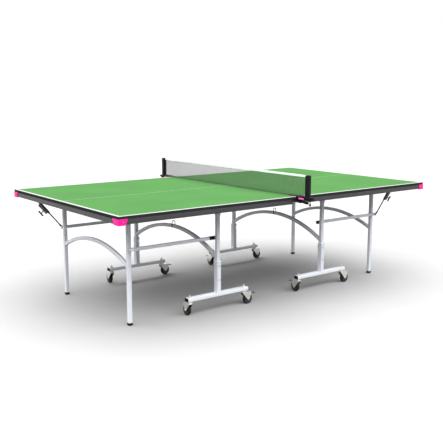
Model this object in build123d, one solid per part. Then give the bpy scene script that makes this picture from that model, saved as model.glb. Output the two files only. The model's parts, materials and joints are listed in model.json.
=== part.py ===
from build123d import *
import os
from math import atan2, degrees, hypot, sqrt

os.makedirs("parts", exist_ok=True)

# A two-part rollaway table tennis table. Each half is a wood panel on a steel frame, carried by a wheeled
# trolley near its middle and by a leg frame near its end. Turning the panel upright folds the leg frame.
# X runs along the table, Y across it, Z up. The origin is on the floor under the middle of the net.
# Everything below is drawn for the right half (+X); the left half is the same, turned 180 degrees about Z.

# ---- playing surface ----
TABLE_LENGTH = 2740.0
TABLE_WIDTH = 1525.0
TABLE_HEIGHT = 760.0
HALVES_GAP = 3.5
BOARD_THICK = 19.0
EDGE_BAND = 50.0                    # board edge and steel rail together
RAIL_WIDTH = 20.0
RAIL_WALL = 1.5
RAIL_SETBACK = 41.0                 # the rails stop this far from the net, leaving bare board for the clamps
CROSS_RAIL_X = 790.0
CROSS_RAIL_DEPTH = 25.0

# ---- trolley ----
TROLLEY_X = 490.0
TROLLEY_Y = 523.0
TUBE = 25.0                         # square leg tube
TUBE_WALL = 1.5
TUBE_TOP = 692.0
UPRIGHT_BOTTOM = 176.0
SLEEVE_X, SLEEVE_Y, SLEEVE_TOP, SLEEVE_WALL = 30.0, 40.0, 335.0, 2.0
BEAM_LENGTH, BEAM_WIDTH, BEAM_HIGH, BEAM_BOTTOM = 508.0, 40.0, 25.0, 101.0
BEAM_CAP = 2.0
COLLAR_HIGH = 6.0
HEIGHT_BOLT_Z = (217.0, 311.0)
TROLLEY_ARCH_Z = 503.0              # centre line of the arch tube at its top

# ---- end leg frame ----
END_X = 1128.0
END_Y = 449.0
FERRULE_HIGH = 17.0
END_ARCH_Z = 477.0

# ---- arches ----
ARCH_RADIUS = 1015.0
ARCH_DEEP = 25.0
ARCH_WIDE = 20.0

# ---- folding linkage: two equal cranks, so the links stay parallel to the board ----
PIVOT_OFFSET = 20.0                 # hinge pins sit this far from the leg axis, on the net side
PIVOT_Z = 710.0
LINK_Z = 493.0
LINK_Y = 487.0
LINK_SIZE = 20.0
LINK_NET_END = 478.0
LINK_OUTER_END = 1140.0
STAY_Y = 501.0
STAY_PIN_Z = 725.0
STAY_TUBE_R, STAY_BORE, STAY_TUBE_LENGTH, STAY_TUBE_HEAD = 9.0, 5.0, 158.0, 7.0
LATCH_AT, LATCH_OUT, PLUNGER_R = 117.0, 22.0, 3.0
LATCH_HOUSING = (60.0, 148.0)       # how far down the stay its housing runs
PIN_R = 4.0
FIT = 0.08                          # radial running clearance of pins in their holes

# ---- castors ----
STEM_SPACING = 458.0
WHEEL_R = 37.5
WHEEL_WIDE = 22.0
TRAIL = 35.0
AXLE_R = 5.0
KINGPIN_R = 6.0
FORK_IN, FORK_OUT, FORK_TOP = 13.0, 15.5, 87.5
PEDAL_X, PEDAL_Z, PEDAL_PIN_R = 52.0, 78.0, 2.0
CASTOR_TURN = {"low_x": 84.0, "high_x": 5.0}   # where the wheels trail at rest, degrees from +X

# ---- net set, clamped to the right half ----
NET_TOP = 912.0
NET_X = 3.0
TAPE_HIGH = 15.0
POST_IN, POST_OUT, POST_WIDE = 850.0, 882.0, 26.0
TONGUE_TIP = 669.0
BRACKET_TOP = 768.0
CLAMP_X0, CLAMP_X1 = -13.0, 22.0
LEVER_X0, LEVER_X1 = 5.0, 19.0
LEVER_PIVOT_Y, LEVER_PIVOT_Z, LEVER_PIN_R = 773.0, 736.0, 2.5
SCREW_Y = 888.0

# ---- worked-out places ----
HALF_WIDTH = TABLE_WIDTH / 2
HALF_END = TABLE_LENGTH / 2
NET_EDGE = HALVES_GAP / 2
BOARD_UNDER = TABLE_HEIGHT - BOARD_THICK
RAIL_UNDER = TABLE_HEIGHT - EDGE_BAND
BEAM_TOP = BEAM_BOTTOM + BEAM_HIGH
HALF_TUBE = TUBE / 2
TROLLEY_PIVOT_X = TROLLEY_X - PIVOT_OFFSET
END_PIVOT_X = END_X - PIVOT_OFFSET
CRANK = hypot(PIVOT_OFFSET, PIVOT_Z - LINK_Z)
STAY_PIN_X = END_PIVOT_X + sqrt(CRANK**2 - (STAY_PIN_Z - PIVOT_Z) ** 2)
STAY_LENGTH = hypot(STAY_PIN_X - END_X, STAY_PIN_Z - LINK_Z)
STAY_SLOPE = degrees(atan2(STAY_PIN_Z - LINK_Z, STAY_PIN_X - END_X))


def block(x0, x1, y0, y1, z0, z1):
    """A box between two corners."""
    centre = ((x0 + x1) / 2, (y0 + y1) / 2, (z0 + z1) / 2)
    return Pos(*centre) * Box(abs(x1 - x0), abs(y1 - y0), abs(z1 - z0))


def disc_y(radius, x, z, y0, y1):
    """A cylinder along Y."""
    return Pos(x, (y0 + y1) / 2, z) * Rot(90, 0, 0) * Cylinder(radius, abs(y1 - y0))


def disc_x(radius, y, z, x0, x1):
    """A cylinder along X."""
    return Pos((x0 + x1) / 2, y, z) * Rot(0, 90, 0) * Cylinder(radius, abs(x1 - x0))


def disc_z(radius, x, y, z0, z1):
    """A cylinder along Z."""
    return Pos(x, y, (z0 + z1) / 2) * Cylinder(radius, abs(z1 - z0))


def plate_y(outline, y0, y1):
    """A flat plate across Y whose outline is given as (x, z) points."""
    face = make_face(Polyline(*[(x, y0, z) for x, z in outline], close=True))
    return extrude(face, amount=abs(y1 - y0), dir=(0, 1 if y1 > y0 else -1, 0))


def box_tube(x0, x1, y0, y1, z0, z1, wall, along):
    """A square or rectangular tube, open at both ends of its long axis."""
    grow = {axis: (0 if axis == along else wall) for axis in "XYZ"}
    inner = block(
        x0 + grow["X"], x1 - grow["X"], y0 + grow["Y"], y1 - grow["Y"], z0 + grow["Z"], z1 - grow["Z"]
    )
    return block(x0, x1, y0, y1, z0, z1) - inner


def mirrored(piece):
    """A piece and its mirror image on the other side of the table."""
    return [piece, mirror(piece, about=Plane.XZ)]


def both_sides(make):
    """What is made, on the front (-Y) and rear (+Y) sides."""
    return mirrored(make())


# ---- top ----
def board():
    """The panel."""
    panel = block(NET_EDGE, HALF_END, -HALF_WIDTH, HALF_WIDTH, BOARD_UNDER, TABLE_HEIGHT)
    outer_corners = panel.edges().filter_by(Axis.Z).group_by(Axis.X)[-1]
    return fillet(outer_corners, 4)


def rails():
    """Rectangular steel tube round the underside of the panel, and one cross rail."""
    rail_in = HALF_WIDTH - RAIL_WIDTH
    side = both_sides(
        lambda: box_tube(
            RAIL_SETBACK, HALF_END, rail_in, HALF_WIDTH, RAIL_UNDER, BOARD_UNDER, RAIL_WALL, "X"
        )
    )
    ends = [
        box_tube(x, x + RAIL_WIDTH, -rail_in, rail_in, RAIL_UNDER, BOARD_UNDER, RAIL_WALL, "Y")
        for x in (RAIL_SETBACK, HALF_END - RAIL_WIDTH)
    ]
    half = RAIL_WIDTH / 2
    cross = box_tube(
        CROSS_RAIL_X - half, CROSS_RAIL_X + half, -rail_in, rail_in,
        BOARD_UNDER - CROSS_RAIL_DEPTH, BOARD_UNDER, RAIL_WALL, "Y",
    )
    return side + ends + [cross]


def corner_guard():
    """A moulded guard round an outer corner, with a lip under the rail."""
    skin, lip = 3.0, 14.0
    along_side, along_end = 60.0, 70.0
    side_slope, end_slope = 12.0, 15.0
    top, bottom = TABLE_HEIGHT - 17, RAIL_UNDER - 4
    x_out, y_out = HALF_END + skin, HALF_WIDTH + skin
    shell = block(x_out - along_side, x_out, y_out - along_end, y_out, bottom, top)
    shell = fillet(shell.edges().filter_by(Axis.Z).sort_by(lambda e: e.center().X + e.center().Y)[-1], 8)
    shell -= block(0, HALF_END, 0, HALF_WIDTH, RAIL_UNDER, top + 1)
    shell -= block(0, HALF_END - lip, 0, HALF_WIDTH - lip, bottom - 1, top)
    side_end, end_end = x_out - along_side, y_out - along_end
    cut = [(side_end - 1, bottom - 1), (side_end + side_slope, bottom - 1), (side_end - 1, top)]
    shell -= plate_y(cut, HALF_WIDTH - lip - 1, y_out + 1)
    cut_face = make_face(
        Polyline(
            (0, end_end - 1, bottom - 1), (0, end_end + end_slope, bottom - 1), (0, end_end - 1, top),
            close=True,
        )
    )
    wedge = extrude(cut_face, amount=x_out + 1, dir=(1, 0, 0))
    return shell - (wedge & block(HALF_END - lip - 1, x_out + 1, 0, y_out, bottom - 1, top))


def hinge_bracket(x, y):
    """A U bracket under the panel with its hinge pin."""
    ear_in, ear_out, ear_r = 8.5, 11.5, 12.0
    plate_out, head = HALF_TUBE + 3, 3.0
    bracket = block(x - 17, x + 17, y - 14.5, y + 14.5, BOARD_UNDER - 3, BOARD_UNDER)
    for side in (-1, 1):
        a, b = y + side * ear_in, y + side * ear_out
        bracket += block(x - ear_r, x + ear_r, min(a, b), max(a, b), PIVOT_Z, BOARD_UNDER - 2)
        bracket += disc_y(ear_r, x, PIVOT_Z, a, b)
    bracket -= disc_y(PIN_R + 0.05, x, PIVOT_Z, y - 20, y + 20)
    pin = disc_y(PIN_R, x, PIVOT_Z, y - plate_out - 1, y + plate_out + 1)
    for side in (-1, 1):
        start = y + side * (plate_out + 0.4)
        pin += disc_y(7, x, PIVOT_Z, start, start + side * head)
    return [bracket, pin]


def stay_bracket():
    """The channel that holds the top of the stay, on the end rail."""
    inner, outer = 10.0, 12.5
    x0, x1 = STAY_PIN_X - 13, HALF_END - RAIL_WIDTH
    channel = block(x0, x1, -STAY_Y - outer, -STAY_Y + outer, BOARD_UNDER - 3, BOARD_UNDER)
    for side in (-1, 1):
        a, b = -STAY_Y + side * inner, -STAY_Y + side * outer
        channel += block(x0, x1, min(a, b), max(a, b), RAIL_UNDER + 2, BOARD_UNDER - 2)
    channel -= disc_y(3.05, STAY_PIN_X, STAY_PIN_Z, -STAY_Y - 20, -STAY_Y + 20)
    pin = disc_y(3, STAY_PIN_X, STAY_PIN_Z, -STAY_Y - 14, -STAY_Y + 14)
    for side in (-1, 1):
        start = -STAY_Y + side * (outer + 0.2)
        pin += disc_y(5.5, STAY_PIN_X, STAY_PIN_Z, start, start + side * 2.5)
    return [channel, pin]


# ---- legs ----
def leg_head(x, y, leg):
    """Adds the two hinge plates at the top of a leg, drilled for the pin."""
    pivot_x, plate = x - PIVOT_OFFSET, 3.0
    low = TUBE_TOP - 42
    outline = [
        (x + HALF_TUBE, low), (x + HALF_TUBE, TUBE_TOP), (pivot_x + 6, PIVOT_Z + 8),
        (pivot_x - 8, PIVOT_Z - 6), (x - HALF_TUBE, low + 14), (x - HALF_TUBE, low),
    ]
    for side in (-1, 1):
        a, b = y + side * HALF_TUBE, y + side * (HALF_TUBE + plate)
        leg += plate_y(outline, a, b) + disc_y(10, pivot_x, PIVOT_Z, a, b)
    return leg - disc_y(PIN_R + FIT, pivot_x, PIVOT_Z, y - 20, y + 20)


def leg_tube(x, y, bottom):
    """One square leg with its hinge plates and the hole for the link's bolt."""
    leg = box_tube(
        x - HALF_TUBE, x + HALF_TUBE, y - HALF_TUBE, y + HALF_TUBE, bottom, TUBE_TOP, TUBE_WALL, "Z"
    )
    leg = leg_head(x, y, leg)
    return leg - disc_y(PIN_R + FIT, x, LINK_Z, y - 20, y + 20)


def arch(x, y_end, z_top):
    """A rectangular tube bent to an arch between two legs."""
    centre_z = z_top - ARCH_RADIUS
    half_deep, half_wide = ARCH_DEEP / 2, ARCH_WIDE / 2

    def ring(deep, wide):
        outside = disc_x(ARCH_RADIUS + deep, 0, centre_z, x - wide, x + wide)
        return outside - disc_x(ARCH_RADIUS - deep, 0, centre_z, x - wide - 1, x + wide + 1)

    tube = ring(half_deep, half_wide) - ring(half_deep - TUBE_WALL, half_wide - TUBE_WALL)
    return tube & block(x - 30, x + 30, -y_end, y_end, centre_z + ARCH_RADIUS / 2, z_top + 50)


def wire_bail():
    """A wire loop standing astride the trolley's arch."""
    wire_r = 2.75
    leg_x, foot_z, bend_z = ARCH_WIDE / 2 + wire_r, TROLLEY_ARCH_Z, TROLLEY_ARCH_Z + 26
    x0, x1 = TROLLEY_X - leg_x, TROLLEY_X + leg_x
    path = Wire([
        Edge.make_line((x0, 0, foot_z), (x0, 0, bend_z)),
        Edge.make_three_point_arc((x0, 0, bend_z), (TROLLEY_X, 0, bend_z + leg_x), (x1, 0, bend_z)),
        Edge.make_line((x1, 0, bend_z), (x1, 0, foot_z)),
    ])
    section = Plane(origin=(x0, 0, foot_z), z_dir=(0, 0, 1)) * Circle(wire_r)
    return sweep(section, path=path)


def trolley_upright():
    """A leg of the trolley, which stands in its sleeve."""
    leg = leg_tube(TROLLEY_X, TROLLEY_Y, UPRIGHT_BOTTOM)
    for z in HEIGHT_BOLT_Z:
        leg -= disc_y(PIN_R + 0.1, TROLLEY_X, z, TROLLEY_Y - 20, TROLLEY_Y + 20)
    return leg


def t_foot():
    """The beam that holds two castors, and the sleeve on it that the upright slides into."""
    x0, x1 = TROLLEY_X - BEAM_LENGTH / 2 + BEAM_CAP, TROLLEY_X + BEAM_LENGTH / 2 - BEAM_CAP
    y0, y1 = TROLLEY_Y - BEAM_WIDTH / 2, TROLLEY_Y + BEAM_WIDTH / 2
    beam = box_tube(x0, x1, y0, y1, BEAM_BOTTOM, BEAM_TOP, SLEEVE_WALL, "X")
    for x in stem_places():
        beam -= disc_z(KINGPIN_R + 0.1, x, TROLLEY_Y, BEAM_BOTTOM - 5, BEAM_TOP + 5)
    sleeve = box_tube(
        TROLLEY_X - SLEEVE_X / 2, TROLLEY_X + SLEEVE_X / 2, TROLLEY_Y - SLEEVE_Y / 2,
        TROLLEY_Y + SLEEVE_Y / 2, BEAM_TOP, SLEEVE_TOP, SLEEVE_WALL, "Z",
    )
    for z in HEIGHT_BOLT_Z:
        sleeve -= disc_y(PIN_R + 0.1, TROLLEY_X, z, TROLLEY_Y - 30, TROLLEY_Y + 30)
    return [beam, sleeve]


def stem_places():
    return (TROLLEY_X - STEM_SPACING / 2, TROLLEY_X + STEM_SPACING / 2)


def beam_caps_and_collar():
    """Plastic plugs in the beam's ends, and the collar on top of the sleeve."""
    pieces = []
    y0, y1 = TROLLEY_Y - BEAM_WIDTH / 2, TROLLEY_Y + BEAM_WIDTH / 2
    wall = SLEEVE_WALL + 0.2
    for side in (-1, 1):
        face = TROLLEY_X + side * BEAM_LENGTH / 2
        inner = face - side * BEAM_CAP
        cap = block(min(face, inner), max(face, inner), y0, y1, BEAM_BOTTOM, BEAM_TOP)
        plug = inner - side * 12
        cap += block(
            min(plug, inner), max(plug, inner), y0 + wall, y1 - wall, BEAM_BOTTOM + wall, BEAM_TOP - wall
        )
        pieces.append(cap)
    ring = block(
        TROLLEY_X - SLEEVE_X / 2 - 2, TROLLEY_X + SLEEVE_X / 2 + 2, y0 - 2, y1 + 2,
        SLEEVE_TOP, SLEEVE_TOP + COLLAR_HIGH,
    )
    hole = HALF_TUBE + 0.2
    ring -= block(
        TROLLEY_X - hole, TROLLEY_X + hole, TROLLEY_Y - hole, TROLLEY_Y + hole,
        SLEEVE_TOP - 1, SLEEVE_TOP + COLLAR_HIGH + 1,
    )
    return pieces + [ring]


def hexagon(across, height, plane):
    """A hexagonal head or nut standing on a plane."""
    return extrude(plane * RegularPolygon(across / sqrt(3), 6), amount=height)


def castor_stem(x, y):
    """The fixed top of a castor: race, kingpin, stem through the beam, and its nut."""
    race_low, rivet = BEAM_BOTTOM - 6, 83.5
    stem = disc_z(20, x, y, race_low, BEAM_BOTTOM)
    stem += disc_z(KINGPIN_R, x, y, rivet - 2, BEAM_TOP + 18)
    stem += disc_z(9, x, y, rivet - 3, rivet)
    return stem + hexagon(19, 10, Plane(origin=(x, y, BEAM_TOP), z_dir=(0, 0, 1)))


def height_bolt(z):
    """A bolt across the sleeve: hexagon head outside, round knob nut inside."""
    outer, inner = TROLLEY_Y + SLEEVE_Y / 2, TROLLEY_Y - SLEEVE_Y / 2
    bolt = disc_y(PIN_R, TROLLEY_X, z, inner - 6, outer + 2)
    bolt += hexagon(13, 5.5, Plane(origin=(TROLLEY_X, outer, z), z_dir=(0, 1, 0)))
    return bolt + disc_y(9, TROLLEY_X, z, inner - 8, inner)


def trolley_fasteners():
    pieces = []
    for x in stem_places():
        pieces += both_sides(lambda: castor_stem(x, TROLLEY_Y))
    for z in HEIGHT_BOLT_Z:
        pieces += both_sides(lambda: height_bolt(z))
    return pieces


def ferrule():
    """A rubber foot plugged into the bottom of an end leg."""
    half = HALF_TUBE + 1.5
    foot = block(END_X - half, END_X + half, END_Y - half, END_Y + half, 0, FERRULE_HIGH)
    foot = fillet(foot.edges().filter_by(Axis.Z), 4)
    plug = HALF_TUBE - TUBE_WALL - 0.2
    return foot + block(
        END_X - plug, END_X + plug, END_Y - plug, END_Y + plug, FERRULE_HIGH - 1, FERRULE_HIGH + 22
    )


# ---- links and stay ----
def link_bar():
    """The square tube that ties a trolley upright to an end leg."""
    half = LINK_SIZE / 2
    bar = box_tube(
        LINK_NET_END, LINK_OUTER_END, LINK_Y - half, LINK_Y + half, LINK_Z - half, LINK_Z + half,
        TUBE_WALL, "X",
    )
    for x in (TROLLEY_X, END_X):
        bar -= disc_y(PIN_R + 0.05, x, LINK_Z, LINK_Y - 20, LINK_Y + 20)
    return bar


def shoulder_bolt(x, inner_end, shoulders, outer_end):
    """A stepped pivot bolt along Y: thin through the tubes, thick between them."""
    bolt = disc_y(PIN_R, x, LINK_Z, inner_end, outer_end)
    for y0, y1 in shoulders:
        bolt += disc_y(7, x, LINK_Z, y0, y1)
    return bolt


def link_bolts():
    """Pivot bolts of both links. The stay's lower end turns on the front one at the end leg."""
    gap, head = 0.3, 4.0
    link_in, link_out = LINK_Y - LINK_SIZE / 2, LINK_Y + LINK_SIZE / 2
    upright_in, upright_out = TROLLEY_Y - HALF_TUBE, TROLLEY_Y + HALF_TUBE
    leg_in, leg_out = END_Y - HALF_TUBE, END_Y + HALF_TUBE
    pieces = both_sides(
        lambda: shoulder_bolt(
            TROLLEY_X, link_in - head,
            [(link_in - head, link_in), (link_out, upright_in - gap), (upright_out + gap, upright_out + head)],
            upright_out + head,
        )
    )
    at_leg = [(leg_in - head, leg_in - gap), (leg_out + gap, link_in)]
    plain = shoulder_bolt(END_X, leg_in - head, at_leg + [(link_out, link_out + head)], link_out + head)
    tab_in, tab_out = STAY_Y - 2.5 - gap, STAY_Y + 2.5 + gap
    held = at_leg + [(link_out, tab_in), (tab_out, tab_out + head)]
    stayed = shoulder_bolt(END_X, leg_in - head, held, tab_out + head)
    return pieces + [plain, mirror(stayed, about=Plane.XZ)]


def along_stay(piece):
    """Places a piece drawn with the stay lying along -X from its top pin at the origin."""
    return Pos(STAY_PIN_X, -STAY_Y, STAY_PIN_Z) * Rot(0, -STAY_SLOPE, 0) * piece


def stay_sleeve():
    """The upper tube of the telescopic stay, with the housing of its latch."""
    tube = disc_x(STAY_TUBE_R, 0, 0, -STAY_TUBE_LENGTH, STAY_TUBE_HEAD)
    tube += block(-LATCH_HOUSING[1], -LATCH_HOUSING[0], -8, 8, -LATCH_OUT, -4)
    tube -= disc_x(STAY_BORE, 0, 0, -STAY_TUBE_LENGTH - 1, STAY_TUBE_HEAD + 1)
    tube -= disc_y(3 + 0.06, 0, 0, -20, 20)
    tube -= disc_z(PLUNGER_R + FIT, -LATCH_AT, 0, -LATCH_OUT - 1, 0)
    return along_stay(tube)


def stay_knob():
    """The pull knob: a plunger with a cross bar."""
    bar_in, bar_out, half_bar = 40.0, 53.0, 27.0
    knob = disc_z(PLUNGER_R, -LATCH_AT, 0, -bar_in - 1, -STAY_BORE - 0.8)
    bar = block(-LATCH_AT - half_bar, -LATCH_AT + half_bar, -6.5, 6.5, -bar_out, -bar_in)
    return along_stay(knob + fillet(bar.edges().filter_by(Axis.Y), 4))


def stay_rod():
    """The lower rod of the stay, with a flat eye on the link's bolt."""
    rod_r, eye_r, eye_thick, rod_length = 4.5, 9.0, 5.0, 296.0
    eye = disc_y(eye_r, -STAY_LENGTH, 0, -eye_thick / 2, eye_thick / 2)
    eye += block(-STAY_LENGTH, -STAY_LENGTH + 26, -eye_thick / 2, eye_thick / 2, -7, 7)
    rod = disc_x(rod_r, 0, 0, -STAY_LENGTH + 20, -STAY_LENGTH + rod_length)
    piece = (eye + rod) - disc_y(PIN_R + FIT, -STAY_LENGTH, 0, -10, 10)
    return along_stay(piece)


# ---- castors, drawn with the stem on the Z axis and the wheel trailing along +X ----
def fork():
    """The turning fork, its axle and the brake's pin."""
    top_low, race_top = 84.0, 94.7
    body = block(-18, 44, -FORK_OUT, FORK_OUT, top_low, FORK_TOP) + disc_z(19, 0, 0, top_low, race_top)
    cheek = [(-18, FORK_TOP), (60, FORK_TOP), (60, 72), (45.5, WHEEL_R), (24.5, WHEEL_R), (-10, 72), (-18, 78)]
    for side in (-1, 1):
        a, b = side * FORK_IN, side * FORK_OUT
        body += plate_y(cheek, a, b) + disc_y(10.5, TRAIL, WHEEL_R, a, b)
    body -= disc_z(KINGPIN_R + FIT, 0, 0, 70, 100)
    body -= disc_y(AXLE_R + 0.05, TRAIL, WHEEL_R, -20, 20)
    body -= disc_y(PEDAL_PIN_R + 0.05, PEDAL_X, PEDAL_Z, -20, 20)
    axle = disc_y(AXLE_R, TRAIL, WHEEL_R, -18, 18)
    for side in (-1, 1):
        axle += disc_y(8, TRAIL, WHEEL_R, side * (FORK_OUT + 0.1), side * 19)
    brake_pin = disc_y(PEDAL_PIN_R, PEDAL_X, PEDAL_Z, -FORK_OUT, FORK_OUT)
    return [body, axle, brake_pin]


def wheel():
    """Tyre and hub."""
    rim_r, boss_r, hub_half, boss_half = 28.0, 10.0, 9.0, 12.5
    half = WHEEL_WIDE / 2
    tyre = disc_y(WHEEL_R, TRAIL, WHEEL_R, -half, half)
    tyre = fillet(tyre.edges().filter_by(GeomType.CIRCLE), 4)
    tyre -= disc_y(rim_r, TRAIL, WHEEL_R, -half - 1, half + 1)
    hub = disc_y(rim_r, TRAIL, WHEEL_R, -hub_half, hub_half) + disc_y(
        boss_r, TRAIL, WHEEL_R, -boss_half, boss_half
    )
    hub -= disc_y(AXLE_R + FIT, TRAIL, WHEEL_R, -20, 20)
    return [tyre, hub]


def pedal():
    """The brake pedal behind the fork."""
    hub_half, narrow, wide = 12.5, 11.0, 16.0
    tread = [(PEDAL_X, PEDAL_Z + 3), (66, 78), (93, 70), (92, 66.5), (64, 74.5), (PEDAL_X, PEDAL_Z - 1)]
    piece = disc_y(4, PEDAL_X, PEDAL_Z, -hub_half, hub_half) + plate_y(tread, -narrow, narrow)
    pad = [(67, 78.5), (93, 71), (92, 66.5), (66, 74)]
    piece += plate_y(pad, -wide, wide)
    return piece - disc_y(PEDAL_PIN_R + FIT, PEDAL_X, PEDAL_Z, -20, 20)


# ---- net set, drawn for the rear (+Y) side ----
def net_mesh():
    """The net between the posts, down to the surface between the clamps."""
    inside = HALF_WIDTH - 1
    low, mid = TABLE_HEIGHT + 2, BRACKET_TOP + 1
    wide = block(NET_X - 0.5, NET_X + 0.5, -POST_IN + 1, POST_IN - 1, mid, NET_TOP - TAPE_HIGH)
    return wide + block(NET_X - 0.5, NET_X + 0.5, -inside, inside, low, mid)


def net_tape():
    """The tape along the top of the net."""
    return block(NET_X - 1.5, NET_X + 1.5, -POST_IN + 1, POST_IN - 1, NET_TOP - TAPE_HIGH, NET_TOP - 1)


def net_post():
    """A hollow post with a closed top."""
    half = POST_WIDE / 2
    post = block(-half, half, POST_IN, POST_OUT, BRACKET_TOP, NET_TOP)
    post = fillet(post.edges().filter_by(Axis.Z), 3)
    return post - block(-half + 2, half - 2, POST_IN + 2, POST_OUT - 2, BRACKET_TOP - 1, NET_TOP - 3)


def net_bracket():
    """The clamp body beside the board, with its cord cleat; the tongue on the board; the lever's pin."""
    body_in, body_out, body_low = HALF_WIDTH + 1.7, 900.0, 744.0
    x0, x1 = CLAMP_X0, CLAMP_X1
    body = block(x0, x1, body_in, body_out, body_low, BRACKET_TOP)
    body = fillet(body.edges().filter_by(Axis.Z), 3)
    tongue = block(5, 19, TONGUE_TIP, body_in, TABLE_HEIGHT + 0.3, TABLE_HEIGHT + 6)
    for a, b in ((LEVER_X0 - 3.4, LEVER_X0 - 0.4), (LEVER_X1 + 0.4, x1)):
        body += block(a, b, body_in, LEVER_PIVOT_Y + 8, LEVER_PIVOT_Z - 7, body_low + 1)
    body += disc_y(6, 0, 757, body_out - 1, 925)
    body -= block(x0 - 1, x1 + 1, 786, 848, 746, 757)
    body -= disc_z(PIN_R - 1 + FIT, 0, SCREW_Y, body_low - 1, body_low + 12)
    body -= disc_x(LEVER_PIN_R + 0.05, LEVER_PIVOT_Y, LEVER_PIVOT_Z, x0 - 1, x1 + 1)
    pin = disc_x(LEVER_PIN_R, LEVER_PIVOT_Y, LEVER_PIVOT_Z, LEVER_X0 - 3.4, x1)
    return [body, tongue, pin]


def clamp_insert():
    """The coloured block let into the clamp."""
    return block(CLAMP_X0 - 0.5, CLAMP_X1 + 0.5, 786.2, 847.8, 746.2, 756.8)


def clamp_lever():
    """The sprung jaw under the board, with its squeeze handle."""
    outline = [
        (703, 740.5), (748, 740.5), (752, 738.5), (LEVER_PIVOT_Y, 741), (790, 740), (852, 730), (861, 722),
        (858, 716), (848, 715), (790, 724), (LEVER_PIVOT_Y, 728), (706, 731), (703, 733),
    ]
    face = make_face(Polyline(*[(LEVER_X0, y, z) for y, z in outline], close=True))
    lever = extrude(face, amount=LEVER_X1 - LEVER_X0, dir=(1, 0, 0))
    return lever - disc_x(LEVER_PIN_R + FIT, LEVER_PIVOT_Y, LEVER_PIVOT_Z, LEVER_X0 - 1, LEVER_X1 + 1)


def height_screw():
    """The thumb screw under the post that sets the net's height."""
    knob_low, knob_top, shaft_top = 708.0, 722.0, 753.0
    screw = disc_z(PIN_R - 1, 0, SCREW_Y, knob_top - 1, shaft_top)
    knob = disc_z(7, 0, SCREW_Y, knob_low, knob_top)
    return screw + fillet(knob.edges().filter_by(GeomType.CIRCLE), 2)


# ---- assembly ----
def half_nodes():
    """Every node of the right half except its castors."""
    brackets = []
    for x, y in ((TROLLEY_PIVOT_X, TROLLEY_Y), (END_PIVOT_X, END_Y)):
        for side in (-1, 1):
            brackets += hinge_bracket(x, side * y)
    trolley_arch = arch(TROLLEY_X, TROLLEY_Y - HALF_TUBE, TROLLEY_ARCH_Z)
    end_arch = arch(END_X, END_Y - HALF_TUBE, END_ARCH_Z)
    return {
        "board": [board()],
        "board_rails": rails(),
        "corner_guards": both_sides(corner_guard),
        "hinge_brackets": brackets + stay_bracket(),
        "trolley_frame": both_sides(trolley_upright) + [trolley_arch, wire_bail()],
        "trolley_feet": [piece for part in t_foot() for piece in mirrored(part)],
        "beam_caps": [piece for cap in beam_caps_and_collar() for piece in mirrored(cap)],
        "trolley_bolts": trolley_fasteners(),
        "end_legs": both_sides(lambda: leg_tube(END_X, END_Y, FERRULE_HIGH)) + [end_arch],
        "leg_ferrules": both_sides(ferrule),
        "link_bars": both_sides(link_bar),
        "link_bolts": link_bolts(),
        "stay_sleeve": [stay_sleeve()],
        "stay_rod": [stay_rod()],
        "stay_knob": [stay_knob()],
    }


def castor_nodes(half, x_sign):
    """Four castors of one half; the two nearest the net have brakes."""
    nodes = {}
    for reach, stem_x in zip(("inner", "outer"), stem_places()):
        low_x = (reach == "inner") == (x_sign > 0)
        turn = CASTOR_TURN["low_x" if low_x else "high_x"]
        for side, y in (("front", -TROLLEY_Y), ("rear", TROLLEY_Y)):
            place = Pos(x_sign * stem_x, y, 0) * Rot(0, 0, turn)
            name = f"{half}_{reach}_{side}"
            nodes[f"{name}_fork"] = [place * piece for piece in fork()]
            nodes[f"{name}_wheel"] = [place * piece for piece in wheel()]
            if reach == "inner":
                nodes[f"{name}_brake_pedal"] = [place * pedal()]
    return nodes


def net_nodes():
    """The net, its posts and clamps, on the right half."""
    brackets = [piece for part in net_bracket() for piece in mirrored(part)]
    lever, screw = clamp_lever(), height_screw()
    return {
        "net_mesh": [net_mesh()],
        "net_tape": [net_tape()],
        "net_posts": both_sides(net_post),
        "net_clamps": brackets,
        "clamp_inserts": both_sides(clamp_insert),
        "front_clamp_lever": [mirror(lever, about=Plane.XZ)],
        "rear_clamp_lever": [lever],
        "front_height_screw": [mirror(screw, about=Plane.XZ)],
        "rear_height_screw": [screw],
    }


nodes = {}
for name, pieces in half_nodes().items():
    nodes["right_" + name] = pieces
    nodes["left_" + name] = [Rot(0, 0, 180) * piece for piece in pieces]
nodes.update(castor_nodes("right", 1))
nodes.update(castor_nodes("left", -1))
nodes.update(net_nodes())

for name, pieces in nodes.items():
    solids = [solid for piece in pieces for solid in piece.solids()]
    export_step(Compound(label=name, children=solids), f"parts/{name}.step")

print(len(nodes), "nodes; stay", round(STAY_LENGTH, 1), "mm at", round(STAY_SLOPE, 1), "degrees")
print("link pivots", TROLLEY_X, END_X, "hinge pins", TROLLEY_PIVOT_X, END_PIVOT_X, "stay pin", STAY_PIN_X)
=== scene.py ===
"""Looks of a rollaway table tennis table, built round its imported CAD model.

Metres, Z up, X along the table. The right half is drawn, and the left half is the same, turned round.
"""
import json
import math
import random

import bmesh
import bpy
from mathutils import Matrix, Vector


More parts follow.
